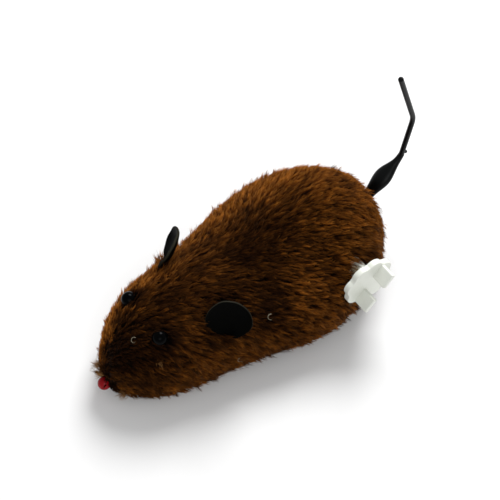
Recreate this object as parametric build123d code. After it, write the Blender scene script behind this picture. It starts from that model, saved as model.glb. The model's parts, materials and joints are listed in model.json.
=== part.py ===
from build123d import *
import os
from math import acos, atan2, cos, degrees, hypot, pi, radians, sin, sqrt, tan

# Clockwork plush mouse. A plush cover is drawn over a two-part plastic shell. The shell closes
# on a base plate that carries a spring motor, two driven wheels and a front roller.
# Millimetres, +Z up, nose towards -Y, tail towards +Y, winding key on the +X side.
# Everything is drawn with the floor at z = 0 and the mid-plane at x = 0, then moved so that
# the origin is the centre of the footprint.

# Body outline: distance along the body, half width, height of the belly, height of the back.
BODY_STATIONS = [
    (-47.0, 1.8, 4.5, 10.8),
    (-45.6, 4.4, 3.2, 15.0),
    (-42.3, 8.2, 2.2, 20.3),
    (-37.5, 12.0, 1.5, 24.6),
    (-30.5, 15.4, 1.5, 27.5),
    (-22.5, 17.3, 1.5, 28.2),
    (-13.0, 19.1, 1.5, 27.7),
    (-2.0, 22.0, 1.5, 27.1),
    (8.5, 24.6, 1.5, 28.3),
    (17.0, 25.2, 1.5, 30.4),
    (25.5, 23.9, 1.5, 32.7),
    (33.0, 20.5, 1.5, 33.6),
    (39.0, 16.5, 1.5, 31.8),
    (43.5, 12.3, 1.9, 27.7),
    (46.2, 7.2, 3.6, 21.8),
    (47.3, 2.5, 7.5, 16.5),
]
HALF_LENGTH = 47.5
HALF_WIDTH = 25.2
BACK_HEIGHT = 33.6
CENTRE_HEIGHT = 13.0
WAIST_SHARE = 0.36
BELLY_TUCK = 0.88
SECTION_ANGLES = (0, 22, 45, 66)

# Skins, from the outside in: how far each surface lies inside the outline, and how far its
# lower edge is raised above the belly.
COVER_OUTSIDE = (0.5, 0.0)
COVER_INSIDE = (2.7, 1.4)
COVER_MOUTH = (7.0, -2.5)
SHELL_OUTSIDE = (2.95, 1.55)
SHELL_MIDDLE = (3.5, -2.5)
SHELL_INSIDE = (4.05, -2.5)
BASE_OUTSIDE = (4.2, 1.55)

# Base plate
BASE_LOW = 3.05
BASE_HIGH = 4.35
PAD_LOW = 2.2
PAD_WIDTH = 15.0
PAD_LENGTH = 20.0
PAD_Y = -4.0

# Wheels and roller
AXLE = (21.9, 7.5)
AXLE_RADIUS = 1.0
TYRE_RADIUS = 7.5
RIM_RADIUS = 6.3
WHEEL_INNER_X = 10.4
WHEEL_OUTER_X = 13.9
ROLLER = (-27.0, 4.0)
ROLLER_RADIUS = 4.0
ROLLER_HALF_WIDTH = 4.0
ROLLER_PIN_RADIUS = 0.8
CHEEK_INNER_X = 4.5
CHEEK_OUTER_X = 6.2
CHEEK_TOP = 6.2
CHEEK_LENGTH = 5.0
ROLLER_EDGE_RADIUS = 0.6
SLOT_MARGIN = 1.2
AXLE_OVERHANG = 0.8
WHEEL_DISH_DEPTH = 1.1
WHEEL_DISH_RADII = (2.2, 5.3)
TYRE_GROOVES = 24
TYRE_GROOVE = (0.6, 0.5)

# Gear train: three arbors across the body, as (y, z)
MODULE = 0.5
PRESSURE_ANGLE = radians(25)
ADDENDUM = 0.9
DEDENDUM = 1.25
BACKLASH = 0.10
MAIN_TEETH = 24
WHEEL_TEETH = 24
PINION_TEETH = 10
MAIN_ARBOR = (27.0, 21.6)
INTERMEDIATE_ENDS = (0.8, 8.3)
INTERMEDIATE_SHOULDER = (1.2, 6.7)
RUNNING_CLEARANCE = 0.05
FIT_CLEARANCE = 0.02

# Motor frame
PLATE_INNER_X = 7.0
PLATE_OUTER_X = 8.0
PILLAR_RADIUS = 1.2
FRONT_PILLARS = [(12.8, 8.0), (15.3, 22.0)]
SPRING_PILLAR_Z = 9.5
RIVET_RADIUS = 0.7
RIVET_PROUD = 0.4
CORNER_RADIUS = 2.2
ARBOR_BOSS_RADIUS = 4.2
FOOT_CORNER_RADIUS = 1.2
FOOT_REACH = 3.6
FOOT_THICKNESS = 1.0
FOOT_CENTRES = (11.0, 33.4)
FOOT_LENGTH = 3.6
MOTOR_SCREW_X = 9.9
MOTOR_SCREW_RADIUS = 0.7
MOTOR_SCREW_HEAD = (1.3, 0.8)
MOTOR_SCREW_SLOT = 0.4

# Places along the arbors, from low x to high x
SPRING_X = (-5.6, -0.2)
MAIN_WHEEL_X = (1.2, 2.2)
RATCHET_X = (2.5, 3.5)
CLICK_X = (2.25, 3.15)
INTERMEDIATE_PINION_X = (0.7, 2.7)
INTERMEDIATE_WHEEL_X = (4.4, 5.4)
DRIVE_PINION_X = (4.0, 5.8)

# Winding arbor, spring, ratchet and click
ARBOR_RADIUS = 1.2
ARBOR_END_X = -9.6
CLIP_RADIUS = 2.2
CLIP_X = (-9.2, -8.3)
SPRING_THICKNESS = 0.35
SPRING_PITCH = 0.86
SPRING_START_RADIUS = 1.75
SPRING_HALF_TURNS = 11
RATCHET_TEETH = 12
RATCHET_RADIUS = 2.9
RATCHET_ROOT = 2.3
CLICK_PIVOT_RADIUS = 4.6
CLICK_PIVOT_ANGLE = radians(60)
CLICK_TIP_RADIUS = 3.05
CLICK_TIP_ANGLE = radians(5)
CLICK_ROOT_ROUND = 1.0
CLICK_TIP_ROUND = 0.3
CLICK_RIVET_RADIUS = 0.5
CLICK_RIVET_HEAD = (0.85, 0.3)

# Key: a scalloped disc on a hub, with two finger tabs on one diameter
KEY_INNER_X = 23.6
KEY_THICKNESS = 1.8
KEY_BODY_RADIUS = 7.3
KEY_LOBES = 8
KEY_LOBE_RADIUS = 3.0
KEY_LOBE_PITCH_RADIUS = 5.05
KEY_HUB_RADIUS = 2.5
KEY_HUB_X = 16.5
KEY_BORE_END_X = 22.4
ARBOR_TIP_GAP = 0.2
TAB_WIDTH = 4.8
TAB_HEIGHT = 4.6
TAB_THICKNESS = 1.5
TAB_INNER_EDGE = 2.2
TAB_ANGLE = radians(50.7)
KEY_EDGE_RADIUS = 0.3
SHELL_KEY_HOLE = 3.2
COVER_KEY_HOLE = 4.6
KEY_DENT_RADIUS = 9.2
KEY_DENT_X = 22.8

# Tail, in the mid-plane as (y, z): root shank, leaf and whip. Each leaf station adds its half
# width and half depth. A moulding nub stands on the lower side where the leaf ends.
TAIL_PIVOT = (43.2, 18.1)
TAIL_SHANK_RADIUS = 1.1
TAIL_SHANK_BACK = 2.2
TAIL_HEAD_RADIUS = 1.9
TAIL_HEAD_LENGTH = 1.2
LEAF_STATIONS = [
    (45.8, 19.3, 1.1, 1.1),
    (47.6, 20.9, 1.85, 1.4),
    (49.4, 22.6, 2.4, 1.6),
    (51.6, 24.5, 2.75, 1.7),
    (53.6, 26.1, 2.2, 1.5),
    (55.4, 27.5, 1.4, 1.2),
    (56.9, 29.0, 1.0, 0.95),
    (58.0, 30.7, 0.85, 0.85),
]
WHIP_POINTS = [(57.75, 29.9), (60.75, 44.8), (54.1, 66.0)]
WHIP_BEND_RADIUS = 8.0
WHIP_RADIUS = 0.8
NUB_ROOT = (58.2, 31.2)
NUB_ANGLE = radians(-30)
NUB_LENGTH = 1.4
NUB_RADIUS = 0.5
TAIL_HOLE_RADIUS = 3.0
BUSH_RADIUS = 2.9
BUSH_BORE = 1.6
BUSH_LENGTH = 2.4

# Ears, eyes and nose. Places are on the +X side; the other side is a mirror image.
EAR_CENTRE = (14.2, -13.1, 25.8)
EAR_NORMAL = (0.70, -0.58, 0.39)
EAR_HALF_HEIGHT = 6.3
EAR_HALF_WIDTH = 6.5
EAR_THICKNESS = 0.9
EYE_CENTRE = (7.6, -31.5, 25.0)
EYE_INWARD = (-0.42, 0.28, -0.86)
EYE_RADIUS = 2.2
NOSE_CENTRE = (0.6, -46.6, 5.6)
NOSE_INWARD = (0, 0.94, 0.34)
NOSE_RADIUS = 1.9
STEM_RADIUS = 0.6
STEM_LENGTH = 6.6
WASHER_RADIUS = 1.8
WASHER_THICKNESS = 0.6
STEM_PAST_WASHER = 0.3

# Self-tapping screws that hold the base to lugs inside the shell
BASE_SCREWS = [(9.6, -13.5), (4.0, 37.4)]
LUG_HALF = 2.0
LUG_LOW = 4.45
LUG_HIGH = 8.5
BASE_SCREW_RADIUS = 0.9
SCREW_HEAD_RADIUS = 1.7
SCREW_HEAD_HEIGHT = 0.8
SCREW_END_GAP = 0.5
CROSS_SLOT = (2.4, 0.5)


def mirror_across(shape):
    return mirror(shape, about=Plane.YZ)


def prism(outline, span):
    low, high = span
    return extrude(Plane.YZ.offset(low) * outline, amount=high - low)


def rod(centre, radius, span):
    return prism(Pos(*centre) * Circle(radius), span)


def ring(centre, outer, inner, span):
    return rod(centre, outer, span) - rod(centre, inner, span)


def slab(size_x, size_y, low, high, x=0.0, y=0.0):
    return Pos(x, y, (low + high) / 2) * Box(size_x, size_y, high - low)


def post(x, y, radius, low, high):
    return Pos(x, y, (low + high) / 2) * Cylinder(radius, high - low)


def body_form(skin):
    """Closed loft of the body outline, drawn in by an inset and raised at the belly."""
    inset, lift = skin
    across = (HALF_WIDTH - inset) / HALF_WIDTH
    along = (HALF_LENGTH - inset) / HALF_LENGTH
    upright = (BACK_HEIGHT - CENTRE_HEIGHT - inset) / (BACK_HEIGHT - CENTRE_HEIGHT)
    sections = []
    for y, half_width, belly, back in BODY_STATIONS:
        wide = half_width * across
        low = belly + lift
        high = CENTRE_HEIGHT + (back - CENTRE_HEIGHT) * upright
        widest = belly + WAIST_SHARE * (back - belly)
        waist = CENTRE_HEIGHT + (widest - CENTRE_HEIGHT) * upright
        side = [(BELLY_TUCK * wide, low)]
        for angle in SECTION_ANGLES:
            out = wide * cos(radians(angle)) ** 0.85
            up = waist + (high - waist) * sin(radians(angle)) ** 0.95
            side.append((out, up))
        outline = [(-x, z) for x, z in side] + [(0, high)] + side[::-1]
        curve = Spline(*[(x, y * along, z) for x, z in outline])
        sections.append(make_face(Wire([curve, Line(curve @ 1, curve @ 0)])))
    return loft(sections)


def gear(centre, teeth, span, bore, tooth_angle):
    """Involute spur gear with one tooth centred on tooth_angle."""
    pitch = MODULE * teeth / 2
    base = pitch * cos(PRESSURE_ANGLE)
    tip = pitch + ADDENDUM * MODULE
    root = pitch - DEDENDUM * MODULE
    half = pi / (2 * teeth) - BACKLASH / (2 * pitch) + tan(PRESSURE_ANGLE) - PRESSURE_ANGLE
    flank = [(root, half)]
    steps = 5
    for step in range(steps + 1):
        radius = max(base, root) + (tip - max(base, root)) * step / steps
        roll = acos(min(1.0, base / radius))
        flank.append((radius, half - (tan(roll) - roll)))
    points = []
    for tooth in range(teeth):
        middle = tooth_angle + 2 * pi * tooth / teeth
        points += [(r * cos(middle - a), r * sin(middle - a)) for r, a in flank]
        points += [(r * cos(middle + a), r * sin(middle + a)) for r, a in flank[::-1]]
    outline = Pos(*centre) * make_face(Polyline(*points, close=True))
    return prism(outline, span) - rod(centre, bore, span)


def meeting_point(first, first_reach, second, second_reach):
    """Point at two given distances from two centres, on the nose side."""
    gap = hypot(second[0] - first[0], second[1] - first[1])
    along = (first_reach**2 - second_reach**2 + gap**2) / (2 * gap)
    aside = sqrt(first_reach**2 - along**2)
    uy, uz = (second[0] - first[0]) / gap, (second[1] - first[1]) / gap
    return first[0] + along * uy + aside * uz, first[1] + along * uz - aside * uy


def heading(start, end):
    return atan2(end[1] - start[1], end[0] - start[0])


def disc_hull(discs):
    """Outline drawn tightly round a set of discs, each given as centre and radius."""
    edges = []
    for centre, radius in discs:
        edges += (Pos(*centre) * Circle(radius)).edges()
    return make_hull(edges)


MAIN_REACH = MODULE * (MAIN_TEETH + PINION_TEETH) / 2
AXLE_REACH = MODULE * (WHEEL_TEETH + PINION_TEETH) / 2
INTERMEDIATE = meeting_point(MAIN_ARBOR, MAIN_REACH, AXLE, AXLE_REACH)
TO_PINION = heading(MAIN_ARBOR, INTERMEDIATE)
TO_AXLE = heading(INTERMEDIATE, AXLE)
GAP_TURN = pi + pi / PINION_TEETH
KEY_OUTER_X = KEY_INNER_X + KEY_THICKNESS
SPRING_END_RADIUS = SPRING_START_RADIUS + (SPRING_HALF_TURNS - 1) * SPRING_PITCH / 2
SPRING_END_Y = MAIN_ARBOR[0] + SPRING_PITCH / 4 + SPRING_END_RADIUS
SPRING_PILLAR = (SPRING_END_Y - PILLAR_RADIUS - FIT_CLEARANCE - SPRING_THICKNESS / 2, SPRING_PILLAR_Z)
PILLARS = [*FRONT_PILLARS, SPRING_PILLAR]
TAIL_AXIS = heading(TAIL_PIVOT, LEAF_STATIONS[1][:2])


def stem_plane(centre, inward):
    """Plane at a bead's centre whose normal runs down the bead's stem."""
    return Plane(origin=centre, z_dir=inward)


def bead(centre, inward, radius):
    stem = extrude(Circle(STEM_RADIUS), amount=STEM_LENGTH)
    return stem_plane(centre, inward) * (Sphere(radius) + stem)


def bead_room(centre, inward, radius):
    """Space that a bead and its stem need in the cover and the shell."""
    hole = extrude(Circle(STEM_RADIUS + RUNNING_CLEARANCE), amount=STEM_LENGTH)
    return stem_plane(centre, inward) * (Sphere(radius + RUNNING_CLEARANCE) + hole)


def stem_washer(centre, inward):
    outline = Circle(WASHER_RADIUS) - Circle(STEM_RADIUS + FIT_CLEARANCE)
    start = STEM_LENGTH - WASHER_THICKNESS - STEM_PAST_WASHER
    return stem_plane(centre, inward).offset(start) * extrude(outline, amount=WASHER_THICKNESS)


def ear():
    plane = Plane(origin=EAR_CENTRE, z_dir=EAR_NORMAL, x_dir=(EAR_NORMAL[1], -EAR_NORMAL[0], 0))
    outline = Ellipse(EAR_HALF_WIDTH, EAR_HALF_HEIGHT)
    return plane * extrude(outline, amount=EAR_THICKNESS / 2, both=True)


def upright_plane(y, z, angle):
    """Plane across the mid-plane at (y, z), with its normal at an angle above +Y."""
    return Plane(origin=(0, y, z), x_dir=(1, 0, 0), z_dir=(0, cos(angle), sin(angle)))


def tail_plane():
    """Plane across the tail's root, with its normal along the tail."""
    return upright_plane(*TAIL_PIVOT, TAIL_AXIS)


def tail_leaf():
    sections = []
    last = len(LEAF_STATIONS) - 1
    for index, (y, z, half_width, half_depth) in enumerate(LEAF_STATIONS):
        before = LEAF_STATIONS[max(index - 1, 0)][:2]
        after = LEAF_STATIONS[min(index + 1, last)][:2]
        sections.append(upright_plane(y, z, heading(before, after)) * Ellipse(half_width, half_depth))
    return loft(sections)


def tail():
    root = tail_plane()
    reach = hypot(LEAF_STATIONS[0][0] - TAIL_PIVOT[0], LEAF_STATIONS[0][1] - TAIL_PIVOT[1])
    shank = root.offset(-TAIL_SHANK_BACK) * extrude(
        Circle(TAIL_SHANK_RADIUS), amount=TAIL_SHANK_BACK + reach + TAIL_SHANK_RADIUS / 2)
    head = root.offset(-TAIL_SHANK_BACK - TAIL_HEAD_LENGTH) * extrude(
        Circle(TAIL_HEAD_RADIUS), amount=TAIL_HEAD_LENGTH)
    path = Plane.YZ * FilletPolyline(*WHIP_POINTS, radius=WHIP_BEND_RADIUS)
    whip = sweep(Plane(origin=path @ 0, z_dir=path % 0) * Circle(WHIP_RADIUS), path=path)
    tip = Pos(*(path @ 1)) * Sphere(WHIP_RADIUS)
    nub_plane = upright_plane(*NUB_ROOT, NUB_ANGLE)
    nub = nub_plane * extrude(Circle(NUB_RADIUS), amount=NUB_LENGTH)
    nub_end = nub_plane.offset(NUB_LENGTH) * Sphere(NUB_RADIUS)
    blade = (whip + tip) + tail_leaf() + (nub + nub_end)
    return (shank + head) + blade


def spiral_spring():
    """Strip wound in half circles whose centres alternate by half a pitch, hooked to a pillar."""
    inner_edge = []
    outer_edge = []
    step = SPRING_PITCH / 2
    half_strip = SPRING_THICKNESS / 2
    for turn in range(SPRING_HALF_TURNS):
        side = 1 if turn % 2 == 0 else -1
        middle = MAIN_ARBOR[0] + side * step / 2
        for edge, offset in ((inner_edge, -half_strip), (outer_edge, half_strip)):
            r = SPRING_START_RADIUS + turn * step + offset
            start = (middle - side * r, MAIN_ARBOR[1])
            top = (middle, MAIN_ARBOR[1] + side * r)
            end = (middle + side * r, MAIN_ARBOR[1])
            edge.append(ThreePointArc(start, top, end))
    closing = [Line(inner_edge[0] @ 0, outer_edge[0] @ 0), Line(inner_edge[-1] @ 1, outer_edge[-1] @ 1)]
    coil = make_face(Wire(inner_edge + outer_edge + closing))
    pillar_y, pillar_z = SPRING_PILLAR
    length = MAIN_ARBOR[1] - pillar_z
    strip = Pos(SPRING_END_Y, pillar_z + length / 2) * Rectangle(SPRING_THICKNESS, length)
    eye_bore = PILLAR_RADIUS + FIT_CLEARANCE
    eye = Pos(pillar_y, pillar_z) * (Circle(eye_bore + SPRING_THICKNESS) - Circle(eye_bore))
    return coil + strip + eye


def polar(centre, radius, angle):
    return centre[0] + radius * cos(angle), centre[1] + radius * sin(angle)


CLICK_PIVOT = polar(MAIN_ARBOR, CLICK_PIVOT_RADIUS, CLICK_PIVOT_ANGLE)


def bead_rooms():
    eye = bead_room(EYE_CENTRE, EYE_INWARD, EYE_RADIUS)
    return [eye, mirror_across(eye), bead_room(NOSE_CENTRE, NOSE_INWARD, NOSE_RADIUS)]


def soft_outside():
    """Plush cover with its key dent, key hole and tail hole; the ears let into it."""
    cover = body_form(COVER_OUTSIDE) - body_form(COVER_INSIDE) - body_form(COVER_MOUTH)
    cover -= rod(MAIN_ARBOR, KEY_DENT_RADIUS, (KEY_DENT_X, HALF_WIDTH + 5))
    cover -= rod(MAIN_ARBOR, COVER_KEY_HOLE, (KEY_HUB_X, HALF_WIDTH))
    cover -= tail_plane() * Cylinder(TAIL_HOLE_RADIUS, 16)
    left_ear = ear()
    right_ear = mirror_across(left_ear)
    for room in (left_ear, right_ear, *bead_rooms()):
        cover -= room
    return {"plush_cover": cover, "ear_left": left_ear, "ear_right": right_ear}


def eyes_and_nose():
    """Beads on stems, each held inside the shell by a washer."""
    left_eye = bead(EYE_CENTRE, EYE_INWARD, EYE_RADIUS)
    eye_washer = stem_washer(EYE_CENTRE, EYE_INWARD)
    return {
        "eye_left": left_eye,
        "eye_right": mirror_across(left_eye),
        "nose_bead": bead(NOSE_CENTRE, NOSE_INWARD, NOSE_RADIUS),
        "eye_washers": Part() + [eye_washer, mirror_across(eye_washer)],
        "nose_washer": stem_washer(NOSE_CENTRE, NOSE_INWARD),
    }


def screw_lug(x, y, filling):
    """Block from the shell's wall to a base screw, with the screw's hole."""
    reach = HALF_WIDTH - x + LUG_HALF
    lug = slab(reach, 2 * LUG_HALF, LUG_LOW, LUG_HIGH, x=x - LUG_HALF + reach / 2, y=y) & filling
    return lug - post(x, y, BASE_SCREW_RADIUS + FIT_CLEARANCE, LUG_LOW, LUG_HIGH)


def shell_halves():
    shell = body_form(SHELL_OUTSIDE) - body_form(SHELL_INSIDE)
    filling = body_form(SHELL_MIDDLE)
    for x, y in BASE_SCREWS:
        lug = screw_lug(x, y, filling)
        shell += [lug, mirror_across(lug)]
    for room in bead_rooms():
        shell -= room
    shell -= rod(MAIN_ARBOR, SHELL_KEY_HOLE, (PLATE_OUTER_X, HALF_WIDTH))
    shell -= tail_plane() * Cylinder(BUSH_RADIUS, 5)
    half_space = Box(2 * HALF_WIDTH, 3 * HALF_LENGTH, 3 * BACK_HEIGHT)
    return {
        "shell_left": shell & (Pos(HALF_WIDTH, 0, 0) * half_space),
        "shell_right": shell & (Pos(-HALF_WIDTH, 0, 0) * half_space),
    }


def base_plate():
    """Base plate with roller window and cheeks, wheel slots and screw holes."""
    base = body_form(BASE_OUTSIDE) & slab(2 * HALF_WIDTH, 2 * HALF_LENGTH, BASE_LOW, BASE_HIGH)
    base += slab(PAD_WIDTH, PAD_LENGTH, PAD_LOW, (BASE_LOW + BASE_HIGH) / 2, y=PAD_Y)
    above = BASE_HIGH + 1
    roller_y = ROLLER[0]
    for side in (-1, 1):
        cheek_x = side * (CHEEK_INNER_X + CHEEK_OUTER_X) / 2
        cheek_width = CHEEK_OUTER_X - CHEEK_INNER_X
        base += slab(cheek_width, CHEEK_LENGTH, BASE_LOW, CHEEK_TOP, x=cheek_x, y=roller_y)
        wheel_x = side * (WHEEL_INNER_X + WHEEL_OUTER_X) / 2
        slot_width = WHEEL_OUTER_X - WHEEL_INNER_X + SLOT_MARGIN
        base -= slab(slot_width, 2 * TYRE_RADIUS, 0, above, x=wheel_x, y=AXLE[0])
        for x, y in BASE_SCREWS:
            base -= post(side * x, y, BASE_SCREW_RADIUS + RUNNING_CLEARANCE, 0, above)
        for y in FOOT_CENTRES:
            base -= post(side * MOTOR_SCREW_X, y, MOTOR_SCREW_RADIUS + FIT_CLEARANCE, 0, above)
    base -= slab(2 * CHEEK_INNER_X, 2 * ROLLER_RADIUS + SLOT_MARGIN, 0, above, y=roller_y)
    base -= rod(ROLLER, ROLLER_PIN_RADIUS + FIT_CLEARANCE, (-HALF_WIDTH, HALF_WIDTH))
    return {"chassis_base": base}


def base_screws():
    screws = Part()
    slot_length, slot_width = CROSS_SLOT
    head_low = BASE_LOW - SCREW_HEAD_HEIGHT
    slot_top = BASE_LOW - SCREW_HEAD_HEIGHT / 2
    for x, y in BASE_SCREWS:
        head = post(x, y, SCREW_HEAD_RADIUS, head_low, BASE_LOW)
        head -= slab(slot_length, slot_width, 0, slot_top, x=x, y=y)
        head -= slab(slot_width, slot_length, 0, slot_top, x=x, y=y)
        screw = head + post(x, y, BASE_SCREW_RADIUS, BASE_LOW, LUG_HIGH - SCREW_END_GAP)
        screws += [screw, mirror_across(screw)]
    return {"base_screws": screws}


def front_roller():
    half = ROLLER_HALF_WIDTH
    roller = ring(ROLLER, ROLLER_RADIUS, ROLLER_PIN_RADIUS + RUNNING_CLEARANCE, (-half, half))
    outer_edges = roller.edges().filter_by(GeomType.CIRCLE).group_by(SortBy.RADIUS)[-1]
    return {
        "front_roller": fillet(outer_edges, ROLLER_EDGE_RADIUS),
        "roller_pin": rod(ROLLER, ROLLER_PIN_RADIUS, (-CHEEK_OUTER_X, CHEEK_OUTER_X)),
    }


def drive_wheels():
    """Axle with two dished wheels, each in a grooved tyre."""
    span = (WHEEL_INNER_X, WHEEL_OUTER_X)
    wheel = ring(AXLE, RIM_RADIUS, AXLE_RADIUS + FIT_CLEARANCE, span)
    hub_radius, rim_inner_radius = WHEEL_DISH_RADII
    for dish in (
        (WHEEL_OUTER_X - WHEEL_DISH_DEPTH, WHEEL_OUTER_X),
        (WHEEL_INNER_X, WHEEL_INNER_X + WHEEL_DISH_DEPTH),
    ):
        wheel -= ring(AXLE, rim_inner_radius, hub_radius, dish)
    tyre = ring(AXLE, TYRE_RADIUS, RIM_RADIUS, span)
    for index in range(TYRE_GROOVES):
        turn = 2 * pi * index / TYRE_GROOVES
        place = polar(AXLE, TYRE_RADIUS, turn)
        tyre -= prism(Pos(*place) * Rot(0, 0, degrees(turn)) * Rectangle(*TYRE_GROOVE), span)
    axle_end = WHEEL_OUTER_X + AXLE_OVERHANG
    return {
        "drive_axle": rod(AXLE, AXLE_RADIUS, (-axle_end, axle_end)),
        "drive_wheel_left": wheel,
        "drive_wheel_right": mirror_across(wheel),
        "tyre_left": tyre,
        "tyre_right": mirror_across(tyre),
    }


def gear_train():
    """Each mesh has a tooth of the wheel on the line of centres and a gap facing it."""
    arbor_bore = ARBOR_RADIUS + RUNNING_CLEARANCE
    main_wheel = gear(MAIN_ARBOR, MAIN_TEETH, MAIN_WHEEL_X, arbor_bore, TO_PINION)
    main_wheel -= rod(CLICK_PIVOT, CLICK_RIVET_RADIUS + FIT_CLEARANCE, MAIN_WHEEL_X)
    end_radius, end_x = INTERMEDIATE_ENDS
    shoulder_radius, shoulder_x = INTERMEDIATE_SHOULDER
    bore = shoulder_radius + FIT_CLEARANCE
    arbor = rod(INTERMEDIATE, end_radius, (-end_x, end_x))
    arbor += rod(INTERMEDIATE, shoulder_radius, (-shoulder_x, shoulder_x))
    pinion_span = INTERMEDIATE_PINION_X
    axle_bore = AXLE_RADIUS + FIT_CLEARANCE
    return {
        "main_wheel": main_wheel,
        "intermediate_arbor": arbor,
        "intermediate_pinion": gear(INTERMEDIATE, PINION_TEETH, pinion_span, bore, TO_PINION + GAP_TURN),
        "intermediate_wheel": gear(INTERMEDIATE, WHEEL_TEETH, INTERMEDIATE_WHEEL_X, bore, TO_AXLE),
        "drive_pinion": gear(AXLE, PINION_TEETH, DRIVE_PINION_X, axle_bore, TO_AXLE + GAP_TURN),
    }


def ratchet_and_click():
    """Saw-toothed wheel on the winding arbor, and the click riveted to the main wheel."""
    saw = []
    for tooth in range(RATCHET_TEETH):
        turn = 2 * pi * tooth / RATCHET_TEETH
        saw += [polar(MAIN_ARBOR, RATCHET_RADIUS, turn), polar(MAIN_ARBOR, RATCHET_ROOT, turn)]
    ratchet = prism(make_face(Polyline(*saw, close=True)), RATCHET_X)
    tip = polar(MAIN_ARBOR, CLICK_TIP_RADIUS + CLICK_TIP_ROUND, CLICK_TIP_ANGLE)
    click = prism(disc_hull([(CLICK_PIVOT, CLICK_ROOT_ROUND), (tip, CLICK_TIP_ROUND)]), CLICK_X)
    click -= rod(MAIN_ARBOR, CLICK_TIP_RADIUS, CLICK_X)
    head_radius, head_height = CLICK_RIVET_HEAD
    rivet_low = MAIN_WHEEL_X[0] - head_height
    rivet_high = CLICK_X[1] + head_height
    rivet = rod(CLICK_PIVOT, CLICK_RIVET_RADIUS, (rivet_low, rivet_high))
    rivet += rod(CLICK_PIVOT, head_radius, (CLICK_X[1], rivet_high))
    rivet += rod(CLICK_PIVOT, head_radius, (rivet_low, MAIN_WHEEL_X[0]))
    return {
        "ratchet_wheel": ratchet - rod(MAIN_ARBOR, ARBOR_RADIUS + FIT_CLEARANCE, RATCHET_X),
        "click": click - rod(CLICK_PIVOT, CLICK_RIVET_RADIUS + FIT_CLEARANCE, CLICK_X),
        "click_rivet": rivet,
    }


def spring_and_arbor():
    return {
        "mainspring": prism(spiral_spring(), SPRING_X),
        "winding_arbor": rod(MAIN_ARBOR, ARBOR_RADIUS, (ARBOR_END_X, KEY_BORE_END_X - ARBOR_TIP_GAP)),
        "arbor_clip": ring(MAIN_ARBOR, CLIP_RADIUS, ARBOR_RADIUS + FIT_CLEARANCE, CLIP_X),
    }


def motor_plate():
    """Side plate with two feet, bored for the arbors and the pillar rivets."""
    span = (PLATE_INNER_X, PLATE_OUTER_X)
    corners = [(centre, CORNER_RADIUS) for centre in PILLARS]
    for index in (0, -1):
        corners.append(((PILLARS[index][0], BASE_HIGH + FOOT_CORNER_RADIUS), FOOT_CORNER_RADIUS))
    plate = prism(disc_hull([*corners, (MAIN_ARBOR, ARBOR_BOSS_RADIUS)]), span)
    foot_top = BASE_HIGH + FOOT_THICKNESS
    for y in FOOT_CENTRES:
        foot_length = FOOT_REACH + PLATE_OUTER_X - PLATE_INNER_X
        foot = slab(foot_length, FOOT_LENGTH, BASE_HIGH, foot_top, x=PLATE_INNER_X + foot_length / 2, y=y)
        foot -= post(MOTOR_SCREW_X, y, MOTOR_SCREW_RADIUS + FIT_CLEARANCE, BASE_HIGH, foot_top)
        plate += foot
    bores = [
        (MAIN_ARBOR, ARBOR_RADIUS + RUNNING_CLEARANCE),
        (INTERMEDIATE, INTERMEDIATE_ENDS[0] + RUNNING_CLEARANCE),
        (AXLE, AXLE_RADIUS + RUNNING_CLEARANCE),
    ]
    bores += [(centre, RIVET_RADIUS + FIT_CLEARANCE) for centre in PILLARS]
    for centre, radius in bores:
        plate -= rod(centre, radius, span)
    return plate


def motor_frame():
    plate = motor_plate()
    pillars = Part()
    rivet_end = PLATE_OUTER_X + RIVET_PROUD
    for centre in PILLARS:
        pillars += rod(centre, PILLAR_RADIUS, (-PLATE_INNER_X, PLATE_INNER_X))
        pillars += rod(centre, RIVET_RADIUS, (-rivet_end, rivet_end))
    screws = Part()
    foot_top = BASE_HIGH + FOOT_THICKNESS
    head_radius, head_height = MOTOR_SCREW_HEAD
    head_top = foot_top + head_height
    for y in FOOT_CENTRES:
        head = post(MOTOR_SCREW_X, y, head_radius, foot_top, head_top)
        head -= slab(3 * head_radius, MOTOR_SCREW_SLOT, foot_top + head_height / 2, head_top + 1,
                     x=MOTOR_SCREW_X, y=y)
        screw = post(MOTOR_SCREW_X, y, MOTOR_SCREW_RADIUS, BASE_LOW, foot_top) + head
        screws += [screw, mirror_across(screw)]
    return {
        "motor_plate_left": plate,
        "motor_plate_right": mirror_across(plate),
        "motor_pillars": pillars,
        "motor_screws": screws,
    }


def finger_tab(middle):
    """Rounded block that stands on the key's disc, its middle at a distance from the axis."""
    block = Pos(0, middle, TAB_HEIGHT / 2) * Box(TAB_THICKNESS, TAB_WIDTH, TAB_HEIGHT)
    rounded = block.edges().filter_by(Axis.Z) + block.faces().sort_by(Axis.Z)[-1].edges()
    place = Plane(
        origin=(KEY_OUTER_X, *MAIN_ARBOR),
        x_dir=(0, -sin(TAB_ANGLE), cos(TAB_ANGLE)),
        z_dir=(1, 0, 0),
    )
    return place * fillet(rounded, KEY_EDGE_RADIUS)


def winding_key():
    outline = Pos(*MAIN_ARBOR) * Circle(KEY_BODY_RADIUS)
    for index in range(KEY_LOBES):
        turn = 2 * pi * (index + 0.5) / KEY_LOBES + TAB_ANGLE
        outline += Pos(*polar(MAIN_ARBOR, KEY_LOBE_PITCH_RADIUS, turn)) * Circle(KEY_LOBE_RADIUS)
    key = prism(outline, (KEY_INNER_X, KEY_OUTER_X))
    key = fillet(key.faces().sort_by(Axis.X)[-1].edges(), KEY_EDGE_RADIUS)
    for side in (-1, 1):
        key += finger_tab(side * (TAB_INNER_EDGE + TAB_WIDTH / 2))
    key += rod(MAIN_ARBOR, KEY_HUB_RADIUS, (KEY_HUB_X, (KEY_INNER_X + KEY_OUTER_X) / 2))
    key -= rod(MAIN_ARBOR, ARBOR_RADIUS + FIT_CLEARANCE, (KEY_HUB_X, KEY_BORE_END_X))
    return {"winding_key": key}


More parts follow.
